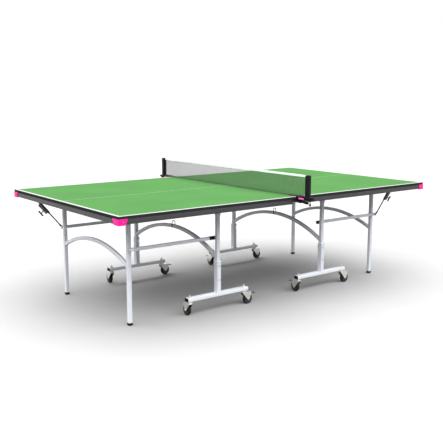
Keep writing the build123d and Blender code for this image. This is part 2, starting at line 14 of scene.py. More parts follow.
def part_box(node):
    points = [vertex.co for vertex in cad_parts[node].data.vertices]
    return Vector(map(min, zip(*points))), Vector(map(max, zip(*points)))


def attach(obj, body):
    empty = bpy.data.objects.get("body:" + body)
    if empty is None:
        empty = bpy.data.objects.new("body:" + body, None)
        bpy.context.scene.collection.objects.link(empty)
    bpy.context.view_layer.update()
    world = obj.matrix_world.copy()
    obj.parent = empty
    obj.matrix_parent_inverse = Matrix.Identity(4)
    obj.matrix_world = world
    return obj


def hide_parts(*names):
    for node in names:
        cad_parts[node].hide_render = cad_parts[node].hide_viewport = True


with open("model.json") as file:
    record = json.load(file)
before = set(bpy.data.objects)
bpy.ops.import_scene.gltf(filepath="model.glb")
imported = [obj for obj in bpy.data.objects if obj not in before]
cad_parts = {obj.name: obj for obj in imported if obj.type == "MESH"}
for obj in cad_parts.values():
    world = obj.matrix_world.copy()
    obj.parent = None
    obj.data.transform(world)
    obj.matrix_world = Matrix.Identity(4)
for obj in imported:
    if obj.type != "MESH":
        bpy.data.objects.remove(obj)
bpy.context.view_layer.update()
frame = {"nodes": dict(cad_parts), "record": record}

MM = 0.001
FULL_TURN = 2 * math.pi
TURN_BACK = Matrix.Rotation(math.pi, 4, "Z")
MIRROR_Y = Matrix.Scale(-1, 4, (0, 1, 0))
HALVES = (("right", Matrix.Identity(4)), ("left", TURN_BACK))
BODY_OF = {
    node: body for body, members in frame["record"]["behaviour"]["bodies"].items() for node in members
}
chance = random.Random(7)

# ---- places: from the frame where it gives them, and otherwise the CAD's own sizes ----
board_low, board_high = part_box("right_board")
rails_low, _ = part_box("right_board_rails")
feet_low, feet_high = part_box("right_trolley_feet")
ferrules_low, ferrules_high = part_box("right_leg_ferrules")
links_low, links_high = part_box("right_link_bars")
posts_low, posts_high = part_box("net_posts")
mesh_low, mesh_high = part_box("net_mesh")
tape_low, tape_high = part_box("net_tape")
guards_low, guards_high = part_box("right_corner_guards")
caps_low, caps_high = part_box("right_beam_caps")
inserts_low, inserts_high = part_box("clamp_inserts")

TABLE_TOP, BOARD_UNDER, RAIL_UNDER = board_high.z, board_low.z, rails_low.z
HALF_END, HALF_WIDTH = board_high.x, board_high.y
RAIL_WIDE, CROSS_RAIL_X, CROSS_RAIL_DEEP = 20 * MM, 790 * MM, 25 * MM
TUBE, TUBE_CORNER = 25 * MM, 3 * MM
HALF_TUBE = TUBE / 2
BEAM_WIDE, BEAM_HIGH, SLEEVE_LONG = 40 * MM, 25 * MM, 30 * MM
BEAM_BOTTOM, SLEEVE_TOP = feet_low.z, feet_high.z
BEAM_TOP = BEAM_BOTTOM + BEAM_HIGH
TROLLEY_X = (feet_low.x + feet_high.x) / 2
TROLLEY_Y = feet_high.y - BEAM_WIDE / 2
STEM_REACH = 229 * MM
STEMS_X = (TROLLEY_X - STEM_REACH, TROLLEY_X + STEM_REACH)
FERRULE_HALF = (ferrules_high.x - ferrules_low.x) / 2
END_X = (ferrules_low.x + ferrules_high.x) / 2
END_Y = ferrules_high.y - FERRULE_HALF
FERRULE_TOP = 17 * MM
LINK_SIZE = 20 * MM
LINK_Y = links_high.y - LINK_SIZE / 2
LINK_Z = (links_low.z + links_high.z) / 2
PIVOT_BACK, PIVOT_Z, TUBE_TOP = 20 * MM, 710 * MM, 692 * MM
ARCH_RADIUS, ARCH_DEEP, ARCH_WIDE = 1015 * MM, 25 * MM, 20 * MM
TROLLEY_ARCH_TOP, END_ARCH_TOP = 503 * MM, 477 * MM
STAY_Y, STAY_PIN_X, STAY_PIN_Z = 501 * MM, 1325.4 * MM, 725 * MM
STAY_SLOPE = math.atan2(STAY_PIN_Z - LINK_Z, STAY_PIN_X - END_X)
STAY_LONG = math.hypot(STAY_PIN_Z - LINK_Z, STAY_PIN_X - END_X)


# ---- mesh tools ----
def rounded(wide, high, radius, steps=4):
    """A rectangle with rounded corners about the origin, as (u, v) points."""
    points = []
    for corner, (u, v) in enumerate(((1, 1), (-1, 1), (-1, -1), (1, -1))):
        for step in range(steps + 1):
            angle = math.pi / 2 * (corner + step / steps)
            points.append((
                u * (wide / 2 - radius) + radius * math.cos(angle),
                v * (high / 2 - radius) + radius * math.sin(angle),
            ))
    return points


def circle(radius, steps=12):
    return [(radius * math.cos(FULL_TURN * k / steps), radius * math.sin(FULL_TURN * k / steps))
            for k in range(steps)]


def arc(u, v, radius, start, end, steps=8):
    """Points of an arc about (u, v), between two angles in degrees."""
    angles = [math.radians(start + (end - start) * k / steps) for k in range(steps + 1)]
    return [(u + radius * math.cos(a), v + radius * math.sin(a)) for a in angles]


def eased(corners, radius, steps=4):
    """An outline with its corners rounded."""
    points = []
    for before, here, after in zip(corners[-1:] + corners[:-1], corners, corners[1:] + corners[:1]):
        here, back, on = Vector(here), Vector(before) - Vector(here), Vector(after) - Vector(here)
        reach = min(radius, back.length * 0.45, on.length * 0.45)
        start, end = here + back.normalized() * reach, here + on.normalized() * reach
        for step in range(steps + 1):
            t = step / steps
            points.append(tuple(start * (1 - t) ** 2 + here * 2 * t * (1 - t) + end * t ** 2))
    return points


def even(points, gap):
    """The same closed outline with points every gap or nearer."""
    made = []
    for here, after in zip(points, points[1:] + points[:1]):
        here, after = Vector(here), Vector(after)
        count = max(1, math.ceil((after - here).length / gap))
        made += [tuple(here.lerp(after, k / count)) for k in range(count)]
    return made


def skin(mesh, rings, closed=False):
    """Faces through a row of rings with equal numbers of points; the ends are closed unless it is a loop."""
    rows = [[mesh.verts.new(point) for point in ring] for ring in rings]
    count = len(rows[0])
    for a, b in zip(rows, rows[1:] + rows[:1] if closed else rows[1:]):
        for k in range(count):
            mesh.faces.new((a[k], a[(k + 1) % count], b[(k + 1) % count], b[k]))
    if not closed:
        mesh.faces.new(rows[0][::-1])
        mesh.faces.new(rows[-1])


def bar(mesh, low, high, axis, radius, chamfer=0.4 * MM):
    """A bar of rounded rectangular section that fills the box between two corners."""
    a = "XYZ".index(axis)
    b, c = (a + 1) % 3, (a + 2) % 3
    middle = [(x + y) / 2 for x, y in zip(low, high)]
    rings = []
    for along, inset in (
        (low[a], chamfer), (low[a] + chamfer, 0), (high[a] - chamfer, 0), (high[a], chamfer)
    ):
        ring = []
        for u, v in rounded(high[b] - low[b] - 2 * inset, high[c] - low[c] - 2 * inset, radius):
            point = [0, 0, 0]
            point[a], point[b], point[c] = along, middle[b] + u, middle[c] + v
            ring.append(point)
        rings.append(ring)
    skin(mesh, rings)


def block(mesh, low, high, radius, steps=3):
    """A box with all its edges rounded."""
    made = bmesh.ops.create_cube(mesh, size=1)["verts"]
    size = Vector(high) - Vector(low)
    middle = (Vector(high) + Vector(low)) / 2
    for vert in made:
        vert.co = Vector([x * s for x, s in zip(vert.co, size)]) + middle
    edges = list({edge for vert in made for edge in vert.link_edges})
    bmesh.ops.bevel(
        mesh, geom=made + edges, offset=radius, segments=steps, profile=0.5, affect="EDGES",
        clamp_overlap=True,
    )


def turned(mesh, profile, place=Matrix.Identity(4), steps=32):
    """A turned solid: (radius, height) points about the Z axis of a place."""
    rings = []
    for radius, height in profile:
        ring = circle(max(radius, 0.02 * MM), steps)
        rings.append([place @ Vector((u, v, height)) for u, v in ring])
    skin(mesh, rings)


def plate(mesh, outline, thick, place, edge=0.4 * MM):
    """A plate with eased edges: a nearly convex outline in a place's XY plane, thick along its Z."""
    middle = Vector((sum(u for u, v in outline), sum(v for u, v in outline))) / len(outline)
    reach = max((Vector(point) - middle).length for point in outline)
    shrink = 1 - edge / reach
    rings = []
    for height, scale in ((0, shrink), (edge, 1), (thick - edge, 1), (thick, shrink)):
        ring = [middle + (Vector(point) - middle) * scale for point in outline]
        rings.append([place @ Vector((point.x, point.y, height)) for point in ring])
    skin(mesh, rings)


def standing(y, side=1):
    """A place for plates drawn in X and Z: they stand at y, and are thick towards +Y or -Y."""
    return Matrix(((1, 0, 0, 0), (0, 0, side, y), (0, 1, 0, 0), (0, 0, 0, 1)))


def tube_along(mesh, path, section, side):
    """A section carried along an open path; side is the way its first axis points."""
    path, side = [Vector(point) for point in path], Vector(side)
    rings = []
    for point, before, after in zip(path, path[:1] + path[:-1], path[1:] + path[-1:]):
        ahead = (after - before).normalized()
        across = (side - ahead * side.dot(ahead)).normalized()
        other = ahead.cross(across)
        rings.append([point + across * u + other * v for u, v in section])
    skin(mesh, rings)


def weld_bead(mesh, path, radius=1.7 * MM, closed=True):
    """A weld: a low ridge along a path, a little uneven."""
    path = [Vector(point) for point in path]
    section, rings = circle(1, 6), []
    for k, point in enumerate(path):
        before = path[k - 1] if k or closed else point
        after = path[(k + 1) % len(path)] if k + 1 < len(path) or closed else point
        ahead = (after - before).normalized()
        across = ahead.orthogonal().normalized()
        swell = radius * chance.uniform(0.82, 1.12)
        other = ahead.cross(across)
        rings.append([point + (across * u + other * v) * swell for u, v in section])
    skin(mesh, rings, closed)


def add(mesh, part, place=None):
    """Adds a part to a mesh, moved to a place, and frees the part."""
    if place is not None:
        part.transform(place)
    copied = bpy.data.meshes.new("part")
    part.to_mesh(copied)
    mesh.from_mesh(copied)
    bpy.data.meshes.remove(copied)
    part.free()


def both_sides(mesh, draw):
    """What draw makes at +Y, and its mirror image at -Y."""
    for place in (None, MIRROR_Y):
        part = bmesh.new()
        draw(part)
        add(mesh, part, place)


def piece(name, draw, look, node, hides=True, turn=None, smooth=35):
    """Makes a piece from what draw adds to a mesh.

    It moves with a CAD node's body, and takes the node's place if it hides it.
    """
    mesh = bmesh.new()
    draw(mesh)
    if turn is not None:
        mesh.transform(turn)
    bmesh.ops.recalc_face_normals(mesh, faces=mesh.faces)
    data = bpy.data.meshes.new(name)
    mesh.to_mesh(data)
    mesh.free()
    data.materials.append(look)
    data.shade_smooth()
    data.set_sharp_from_angle(angle=math.radians(smooth))
    made = bpy.data.objects.new(name, data)
    bpy.context.scene.collection.objects.link(made)
    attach(made, BODY_OF[node])
    if hides:
        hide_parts(node)
    return made


def at(x, y, z):
    return Matrix.Translation((x, y, z))


def facing(place, axis):
    """A place whose Z axis is turned to point along a named axis."""
    turns = {
        "+X": Matrix.Rotation(math.pi / 2, 4, "Y"),
        "-X": Matrix.Rotation(-math.pi / 2, 4, "Y"),
        "+Y": Matrix.Rotation(-math.pi / 2, 4, "X"),
        "-Z": Matrix.Rotation(math.pi, 4, "X"),
    }
    return place @ turns[axis]


# ---- materials: every pattern lies in the object's own coordinates ----
def linear(red, green, blue):
    """A colour given as it looks on a screen, 0 to 255."""
    parts = [value / 255 for value in (red, green, blue)]
    return [part / 12.92 if part <= 0.04045 else ((part + 0.055) / 1.055) ** 2.4 for part in parts] + [1]


def maths(tree, operation, *values):
    """A Math node in a node tree, fed with numbers and with other nodes' outputs."""
    node = tree.nodes.new("ShaderNodeMath")
    node.operation = operation
    for socket, value in zip(node.inputs, values):
        if isinstance(value, bpy.types.NodeSocket):
            tree.links.new(value, socket)
        else:
            socket.default_value = value
    return node.outputs[0]


class Look:
    """A procedural material."""

    def __init__(self, name, sockets):
        self.made = bpy.data.materials.new(name)
        self.made.use_nodes = True
        self.nodes, self.links = self.made.node_tree.nodes, self.made.node_tree.links
        self.shader = self.nodes["Principled BSDF"]
        for socket, value in sockets.items():
            self.shader.inputs[socket].default_value = value
        self.place = self.nodes.new("ShaderNodeTexCoord").outputs["Object"]

    def join(self, output, node, socket):
        self.links.new(output, node.inputs[socket])

    def noise(self, scale, detail=2.0, stretch=None):
        """Noise with about scale lumps to the metre."""
        texture = self.nodes.new("ShaderNodeTexNoise")
        texture.inputs["Scale"].default_value = scale
        texture.inputs["Detail"].default_value = detail
        place = self.place
        if stretch is not None:
            mapping = self.nodes.new("ShaderNodeMapping")
            mapping.inputs["Scale"].default_value = stretch
            self.join(place, mapping, "Vector")
            place = mapping.outputs["Vector"]
        self.join(place, texture, "Vector")
        return texture.outputs["Fac"]

    def ranged(self, output, low, high, start=0.3, end=0.7):
        """An output between start and end, brought between low and high."""
        node = self.nodes.new("ShaderNodeMapRange")
        for socket, value in (("From Min", start), ("From Max", end), ("To Min", low), ("To Max", high)):
            node.inputs[socket].default_value = value
        self.join(output, node, "Value")
        return node.outputs["Result"]

    def mixed(self, factor, a, b):
        """One of two colours, or of two colour outputs, by a factor."""
        node = self.nodes.new("ShaderNodeMix")
        node.data_type = "RGBA"
        for socket, value in ((6, a), (7, b)):
            if isinstance(value, bpy.types.NodeSocket):
                self.links.new(value, node.inputs[socket])
            else:
                node.inputs[socket].default_value = value
        self.links.new(factor, node.inputs[0])
        return node.outputs[2]

    def maths(self, operation, *values):
        return maths(self.made.node_tree, operation, *values)

    def colour(self, output):
        self.join(output, self.shader, "Base Color")

    def rough(self, output):
        self.join(output, self.shader, "Roughness")

    def bump(self, output, strength, distance):
        node = self.nodes.new("ShaderNodeBump")
        node.inputs["Strength"].default_value = strength
        node.inputs["Distance"].default_value = distance
        self.join(output, node, "Height")
        self.join(node.outputs["Normal"], self.shader, "Normal")


def coated(name, dark, light, rough, sockets, blotch=9, grain=700, peel=0.12, depth=0.15 * MM):
    """Paint or moulded plastic: slight blotches of colour, uneven gloss, orange peel or moulding grain."""
    look = Look(name, sockets)
    look.colour(look.mixed(look.ranged(look.noise(blotch, 4), 0, 1), dark, light))
    look.rough(look.ranged(look.noise(blotch * 5, 5), *rough))
    look.bump(look.noise(grain, 2), peel, depth)
    return look.made


def plated(name, dark, light, rough):
    """Zinc plating: cloudy metal with fine drawing marks."""
    look = Look(name, {"Metallic": 1.0})
    look.colour(look.mixed(look.ranged(look.noise(60, 5), 0, 1), dark, light))
    look.rough(look.ranged(look.noise(240, 4, (1, 1, 6)), *rough))
    look.bump(look.noise(900, 3), 0.15, 0.1 * MM)
    return look.made


def board_look():
    """Satin paint with white lines on top, dark grey edges, and a sealed underside with a faint fleck."""
    line, centre_line, skin_deep = 20 * MM, 3 * MM, 0.6 * MM
    look = Look("board_paint", {"Specular IOR Level": 0})
    axes = look.nodes.new("ShaderNodeSeparateXYZ")
    look.join(look.place, axes, "Vector")
    along = look.maths("ABSOLUTE", axes.outputs["X"])
    across = look.maths("ABSOLUTE", axes.outputs["Y"])
    ends = look.maths("GREATER_THAN", along, HALF_END - line)
    sides = look.maths("GREATER_THAN", across, HALF_WIDTH - line)
    middle = look.maths("LESS_THAN", across, centre_line / 2)
    lines = look.maths("MAXIMUM", look.maths("MAXIMUM", ends, sides), middle)
    green = look.mixed(look.ranged(look.noise(2.5, 3), 0, 1), linear(67, 107, 61), linear(70, 112, 64))
    marks = look.maths("MULTIPLY", look.ranged(look.noise(35, 6, (1, 3, 1)), 0, 1, 0.62, 0.8), 0.12)
    green = look.mixed(marks, green, linear(87, 129, 80))
    painted = look.mixed(lines, green, linear(156, 159, 156))
    on_top = look.maths("GREATER_THAN", axes.outputs["Z"], TABLE_TOP - skin_deep)
    below = look.maths("LESS_THAN", axes.outputs["Z"], BOARD_UNDER + skin_deep)
    fleck = look.mixed(look.ranged(look.noise(420, 3), 0, 1), linear(46, 48, 46), linear(66, 68, 65))
    rest = look.mixed(below, linear(46, 46, 48), fleck)
    look.colour(look.mixed(on_top, rest, painted))
    look.rough(look.ranged(look.noise(28, 5), 0.42, 0.56))
    look.bump(look.noise(500, 3), 0.12, 0.15 * MM)
    return look.made


def weave_look(name, dark, light, thread=0.9 * MM):
    """Woven tape: two crossed sets of threads, with painted shade in the hollows of the weave."""
    look = Look(name, {"Sheen Weight": 0.3, "Sheen Roughness": 0.5, "Specular IOR Level": 0.2})
    axes = look.nodes.new("ShaderNodeSeparateXYZ")
    look.join(look.place, axes, "Vector")
    warp = look.maths("SINE", look.maths("MULTIPLY", axes.outputs["Y"], FULL_TURN / thread))
    weft = look.maths("SINE", look.maths("MULTIPLY", axes.outputs["Z"], FULL_TURN / thread))
    weave = look.maths("MULTIPLY", warp, weft)
    # colour follows the bump: the weave's low cells are painted darker as painted shade, and its raised
    # cells lighter
    look.colour(look.mixed(look.ranged(weave, 0, 1, -1, 1), dark, light))
    look.rough(look.ranged(look.noise(90, 3), 0.75, 0.95))
    look.bump(weave, 0.4, 0.2 * MM)
    return look.made


BOARD = board_look()
RAIL = coated("rail_paint", linear(40, 40, 42), linear(46, 46, 48), (0.34, 0.46), {}, peel=0.18)
LEG = coated("leg_paint", linear(218, 221, 228), linear(225, 228, 235), (0.3, 0.42), {}, peel=0.18)
BLACK_PAINT = coated("black_paint", linear(14, 14, 15), linear(20, 20, 21), (0.28, 0.4), {}, peel=0.15)
GUARD = coated(
    "guard_plastic", linear(240, 20, 138), linear(250, 32, 152), (0.38, 0.5), {"Specular IOR Level": 0.3},
    grain=1400, peel=0.2,
)
STRIP = coated(
    "strip_plastic", linear(244, 96, 174), linear(250, 110, 186), (0.38, 0.5), {"Specular IOR Level": 0.3},
    grain=1400, peel=0.2,
)
PLASTIC = coated(
    "black_plastic", linear(10, 10, 11), linear(16, 16, 17), (0.42, 0.56), {"Specular IOR Level": 0.15},
    grain=1600, peel=0.3,
)
GREY_PLASTIC = coated(
    "grey_plastic", linear(120, 122, 126), linear(136, 138, 142), (0.45, 0.6), {}, grain=1600
)
HUB = coated("hub_plastic", linear(58, 58, 60), linear(70, 70, 72), (0.45, 0.6), {}, grain=1600, peel=0.25)
RUBBER = coated(
    "black_rubber", linear(14, 14, 15), linear(23, 23, 23), (0.68, 0.85), {"Specular IOR Level": 0.3},
    60, 1100, 0.4,
)
CORD = coated(
    "net_cord", linear(13, 16, 14), linear(20, 23, 21), (0.6, 0.8), {"Sheen Weight": 0.2}, 200, 2500, 0.4
)
ZINC = plated("zinc_steel", linear(196, 196, 196), linear(222, 222, 221), (0.26, 0.45))
CASTOR = plated("castor_steel", linear(222, 214, 206), linear(240, 234, 228), (0.3, 0.48))
# the darker of the two whites is painted shade between the threads; the lighter one is the tape's own white
TAPE = weave_look("tape_fabric", linear(205, 206, 208), linear(240, 241, 242))
THREAD = coated(
    "stitch_thread", linear(222, 222, 224), linear(238, 238, 240), (0.6, 0.8), {}, 300, 3000, 0.3
)


def finish_node(node, look, edge, steps=2):
    """Gives a CAD node a material and takes the sharpness off its edges; its mesh stays as it is."""
    shown = frame["nodes"][node]
    shown.data.materials.clear()
    shown.data.materials.append(look)
    weld = shown.modifiers.new("weld", "WELD")
    weld.merge_threshold = 0.01 * MM
    flat = shown.modifiers.new("flat", "DECIMATE")
    flat.decimate_type = "DISSOLVE"
    flat.angle_limit = math.radians(1)
    bevel = shown.modifiers.new("edge", "BEVEL")
    bevel.width, bevel.segments = edge, steps
    bevel.limit_method, bevel.angle_limit = "ANGLE", math.radians(35)
    normals = shown.modifiers.new("normals", "WEIGHTED_NORMAL")
    normals.keep_sharp = True


# ---- board and rails ----
def rails(mesh):
    inside = HALF_WIDTH - RAIL_WIDE
    corner = 2.5 * MM
    both_sides(mesh, lambda m: bar(
        m, (rails_low.x, inside, RAIL_UNDER), (HALF_END, HALF_WIDTH, BOARD_UNDER), "X", corner
    ))
    for x in (rails_low.x, HALF_END - RAIL_WIDE):
        bar(mesh, (x, -inside, RAIL_UNDER), (x + RAIL_WIDE, inside, BOARD_UNDER), "Y", corner)
    half = RAIL_WIDE / 2
    bar(
        mesh, (CROSS_RAIL_X - half, -inside, BOARD_UNDER - CROSS_RAIL_DEEP),
        (CROSS_RAIL_X + half, inside, BOARD_UNDER), "Y", corner,
    )


def rail_plugs(mesh):
    """Plastic plugs in the open net-side ends of the side rails."""
    deep, inset = 2.5 * MM, 0.3 * MM
    both_sides(mesh, lambda m: bar(
        m, (rails_low.x - deep, HALF_WIDTH - RAIL_WIDE + inset, RAIL_UNDER + inset),
        (rails_low.x + deep, HALF_WIDTH - inset, BOARD_UNDER - inset), "X", 2.2 * MM, 1 * MM,
    ))


def screw_head(mesh, place, radius=4 * MM, high=1.8 * MM):
    """A pan-head screw with a round recess, standing on a place's XY plane."""
    turned(mesh, [(0, -0.5 * MM), (radius, -0.5 * MM), (radius, 0.25 * high), (0.86 * radius, 0.72 * high),
                  (0.5 * radius, high), (0.32 * radius, high), (0.28 * radius, 0.45 * high),
                  (0, 0.45 * high)], place, 20)


def rail_screws(mesh):
    """Screws up through the rails into the board."""
    def side(part):
        places = [(x, HALF_WIDTH - RAIL_WIDE / 2, RAIL_UNDER) for x in (0.10, 0.42, 0.66, 0.94, 1.22)]
        places += [(x, y, RAIL_UNDER) for x in (rails_low.x + RAIL_WIDE / 2, HALF_END - RAIL_WIDE / 2)
                   for y in (0.16, 0.38, 0.62)]
        places += [(CROSS_RAIL_X, y, BOARD_UNDER - CROSS_RAIL_DEEP) for y in (0.1, 0.4, 0.68)]
        for place in places:
            screw_head(part, facing(at(*place), "-Z"), 3.2 * MM, 1.3 * MM)

    both_sides(mesh, side)


def guard_screws(mesh):
    """One screw in each outer face of each corner guard, its head just above the plastic."""
    height, sunk = (guards_low.z + guards_high.z) / 2 + 2 * MM, 1.1 * MM

    def corner(part):
        faces = (
            (at(guards_high.x - 32 * MM, guards_high.y - sunk, height), "+Y"),
            (at(guards_high.x - sunk, guards_high.y - 36 * MM, height), "+X"),
        )
        for place, axis in faces:
            screw_head(part, facing(place, axis), 3.4 * MM, 1.2 * MM)

    both_sides(mesh, corner)


# ---- legs and trolley ----
def arch(mesh, x, y_end, z_top):
    """A rectangular tube bent to an arch between two legs, welded to both."""
    centre_z = z_top - ARCH_RADIUS
    reach = math.asin(y_end / ARCH_RADIUS)
    section = rounded(ARCH_DEEP, ARCH_WIDE, TUBE_CORNER)
    steps, rings = 48, []
    for k in range(steps + 1):
        a = reach * (2 * k / steps - 1)
        out = Vector((0, math.sin(a), math.cos(a)))
        base = Vector((x, 0, centre_z)) + out * ARCH_RADIUS
        rings.append([base + out * u + Vector((v, 0, 0)) for u, v in section])
    for end, sign in ((0, -1), (-1, 1)):
        for point in rings[end]:
            shift = sign * y_end - point.y
            point.y += shift
            point.z -= shift * math.tan(reach) * sign
    skin(mesh, rings)
    for end in (0, -1):
        weld_bead(mesh, rings[end])


def hinge_plates(mesh, x, y):
    """The two plates at the top of a leg that carry its hinge pin."""
    thick, pivot, low = 3 * MM, x - PIVOT_BACK, TUBE_TOP - 42 * MM
    outline = [(x + HALF_TUBE, low), (x + HALF_TUBE, TUBE_TOP)]
    outline += arc(pivot, PIVOT_Z, 10 * MM, 60, 215, 12)
    outline += [(x - HALF_TUBE, low + 14 * MM), (x - HALF_TUBE, low)]
    for side in (-1, 1):
        plate(mesh, outline, thick, standing(y + side * HALF_TUBE, side))


def leg(mesh, x, y, bottom):
    bar(mesh, (x - HALF_TUBE, y - HALF_TUBE, bottom), (x + HALF_TUBE, y + HALF_TUBE, TUBE_TOP), "Z",
        TUBE_CORNER)
    hinge_plates(mesh, x, y)


def trolley_frame(mesh):
    both_sides(mesh, lambda m: leg(m, TROLLEY_X, TROLLEY_Y, BEAM_TOP + 50 * MM))
    arch(mesh, TROLLEY_X, TROLLEY_Y - HALF_TUBE, TROLLEY_ARCH_TOP)


def wire_bail(mesh):
    """A wire loop standing astride the trolley's arch."""
    wire_r = 2.75 * MM
    leg_x, foot, bend = ARCH_WIDE / 2 + wire_r, TROLLEY_ARCH_TOP - 8 * MM, TROLLEY_ARCH_TOP + 26 * MM
    path = [(TROLLEY_X + leg_x, 0, foot), (TROLLEY_X + leg_x, 0, (foot + bend) / 2)]
    path += [(TROLLEY_X + u, 0, bend + v) for u, v in arc(0, 0, leg_x, 0, 180, 14)]
    path += [(TROLLEY_X - leg_x, 0, (foot + bend) / 2), (TROLLEY_X - leg_x, 0, foot)]
    tube_along(mesh, path, circle(wire_r, 12), (0, 1, 0))
    for side in (-1, 1):
        bead = [(TROLLEY_X + side * leg_x, 0, foot + k * 4 * MM) for k in range(4)]
        weld_bead(mesh, bead, 3.2 * MM, False)


def end_frame(mesh):
    both_sides(mesh, lambda m: leg(m, END_X, END_Y, FERRULE_TOP))
    arch(mesh, END_X, END_Y - HALF_TUBE, END_ARCH_TOP)


def leg_caps(mesh, x, y):
    """Domed plastic caps in the tops of a pair of legs."""
    def cap(part):
        size = TUBE - 1 * MM
        rings = []
        for inset, z in ((0, -0.5 * MM), (0, 1.2 * MM), (1.5 * MM, 2.4 * MM), (5 * MM, 3 * MM)):
            ring = rounded(size - 2 * inset, size - 2 * inset, max(TUBE_CORNER - inset, 1 * MM))
            rings.append([(x + u, y + v, TUBE_TOP + z) for u, v in ring])
        skin(part, rings)

    both_sides(mesh, cap)


def ferrules(mesh):
    """Rubber feet: a cup round the leg's end, ribbed, with a chamfered tread."""
    def foot(part):
        rings = []
        for z, inset in (
            (0, 2.2 * MM), (1.2 * MM, 0.8 * MM), (4 * MM, 0), (6 * MM, 0), (6.6 * MM, 0.7 * MM),
            (7.4 * MM, 0.7 * MM), (8 * MM, 0), (16 * MM, 0.2 * MM), (FERRULE_TOP, 1 * MM),
        ):
            size = 2 * (FERRULE_HALF - inset)
            rings.append([(END_X + u, END_Y + v, z) for u, v in rounded(size, size, 4 * MM - inset / 2, 5)])
        skin(part, rings)

    both_sides(mesh, foot)


def trolley_feet(mesh):
    """A beam with the sleeve that the upright slides into, welded on top."""
    def foot(part):
        y0, y1 = TROLLEY_Y - BEAM_WIDE / 2, TROLLEY_Y + BEAM_WIDE / 2
        bar(part, (feet_low.x, y0, BEAM_BOTTOM), (feet_high.x, y1, BEAM_TOP), "X", TUBE_CORNER)
        x0, x1 = TROLLEY_X - SLEEVE_LONG / 2, TROLLEY_X + SLEEVE_LONG / 2
        bar(part, (x0, y0, BEAM_TOP - 1 * MM), (x1, y1, SLEEVE_TOP), "Z", TUBE_CORNER)
        ring = rounded(SLEEVE_LONG, BEAM_WIDE - 1 * MM, TUBE_CORNER, 3)
        weld_bead(part, [(TROLLEY_X + u, TROLLEY_Y + v, BEAM_TOP) for u, v in even(ring, 3 * MM)], 1.9 * MM)

    both_sides(mesh, foot)


def collars(mesh):
    """Painted rings round the uprights, on top of the sleeves."""
    def ring(part):
        hole = rounded(TUBE + 0.4 * MM, TUBE + 0.4 * MM, TUBE_CORNER)
        outside = rounded(SLEEVE_LONG + 4 * MM, BEAM_WIDE + 4 * MM, 4 * MM)
        top, base = caps_high.z, SLEEVE_TOP
        rows = [(hole, base, 0), (outside, base, 0), (outside, top - 1.5 * MM, 0),
                (outside, top, 1.5 * MM), (hole, top, 0)]
        rings = []
        for outline, z, inset in rows:
            shrink = 1 - inset / (SLEEVE_LONG / 2 + 2 * MM)
            rings.append([(TROLLEY_X + u * shrink, TROLLEY_Y + v * shrink, z) for u, v in outline])
        skin(part, rings, closed=True)

    both_sides(mesh, ring)


def beam_caps(mesh):
    """Plugs in the ends of the beams, with chamfered edges."""
    def caps(part):
        y0, y1 = TROLLEY_Y - BEAM_WIDE / 2, TROLLEY_Y + BEAM_WIDE / 2
        for inner, outer in ((feet_low.x, caps_low.x), (feet_high.x, caps_high.x)):
            bar(part, (min(inner, outer), y0, BEAM_BOTTOM), (max(inner, outer), y1, BEAM_TOP), "X",
                TUBE_CORNER, 0.9 * MM)

    both_sides(mesh, caps)


def links(mesh):
    half = LINK_SIZE / 2
    both_sides(mesh, lambda m: bar(
        m, (links_low.x + 2 * MM, LINK_Y - half, LINK_Z - half),
        (links_high.x, LINK_Y + half, LINK_Z + half), "X", 2.5 * MM,
    ))


def link_sockets(mesh):
    """Moulded sockets over the net-side ends of the links."""
    def ends(part):
        half, wall = LINK_SIZE / 2, 1 * MM
        bar(part, (links_low.x - 1 * MM, LINK_Y - half - wall, LINK_Z - half - wall),
            (links_low.x + 58 * MM, LINK_Y + half + wall, LINK_Z + half + wall), "X", 3 * MM, 1 * MM)

    both_sides(mesh, ends)


# ---- stay: drawn along -X from its top pin, on the front side ----
STAY_PLACE = at(STAY_PIN_X, -STAY_Y, STAY_PIN_Z) @ Matrix.Rotation(-STAY_SLOPE, 4, "Y")
SLEEVE_R, SLEEVE_DOWN, LATCH_AT, LATCH_OUT = 9 * MM, 158 * MM, 117 * MM, 22 * MM


def along_stay(near, far, profile):
    """A turned piece between two distances down the stay."""
    place = STAY_PLACE @ facing(at(-near, 0, 0), "-X")
    return lambda mesh: turned(mesh, [(r, t * (far - near)) for r, t in profile], place, 28)


def stay_tube(mesh):
    along_stay(-7 * MM, SLEEVE_DOWN, [
        (7.6 * MM, 0), (SLEEVE_R, 0.008), (SLEEVE_R, 0.985), (7.4 * MM, 1)
    ])(mesh)


def stay_latch(mesh):
    """The latch's housing on the outside of the tube."""
    part = bmesh.new()
    bar(part, (-148 * MM, -8 * MM, -LATCH_OUT), (-60 * MM, 8 * MM, -4 * MM), "X", 4 * MM, 3 * MM)
    turned(part, [(6.4 * MM, 0), (6.4 * MM, 3.4 * MM), (5.4 * MM, 4.4 * MM), (3.4 * MM, 4.4 * MM)],
           facing(at(-LATCH_AT, 0, -LATCH_OUT + 0.5 * MM), "-Z"), 20)
    add(mesh, part, STAY_PLACE)


def stay_knob(mesh):
    """The pull knob: a plunger with a waisted cross bar, ribbed for grip."""
    part = bmesh.new()
    turned(part, [(3 * MM, 6 * MM), (3 * MM, 38 * MM), (4.6 * MM, 39 * MM), (5.6 * MM, 42 * MM)],
           facing(at(-LATCH_AT, 0, 0), "-Z"), 16)
    rings, half_bar, bar_out = [], 27 * MM, 46.5 * MM
    for k in range(29):
        t = k / 14 - 1
        end = max(1 - abs(t) ** 6, 0.0) ** 0.5
        rib = 0.35 * MM if k % 2 and 4 < k < 24 else 0
        size = max((5 + 1.4 * abs(t)) * MM * end - rib, 0.6 * MM)
        centre = Vector((-LATCH_AT + t * half_bar, 0, -bar_out))
        rings.append([centre + Vector((0, u, v)) for u, v in circle(size, 16)])
    skin(part, rings)
    add(mesh, part, STAY_PLACE)


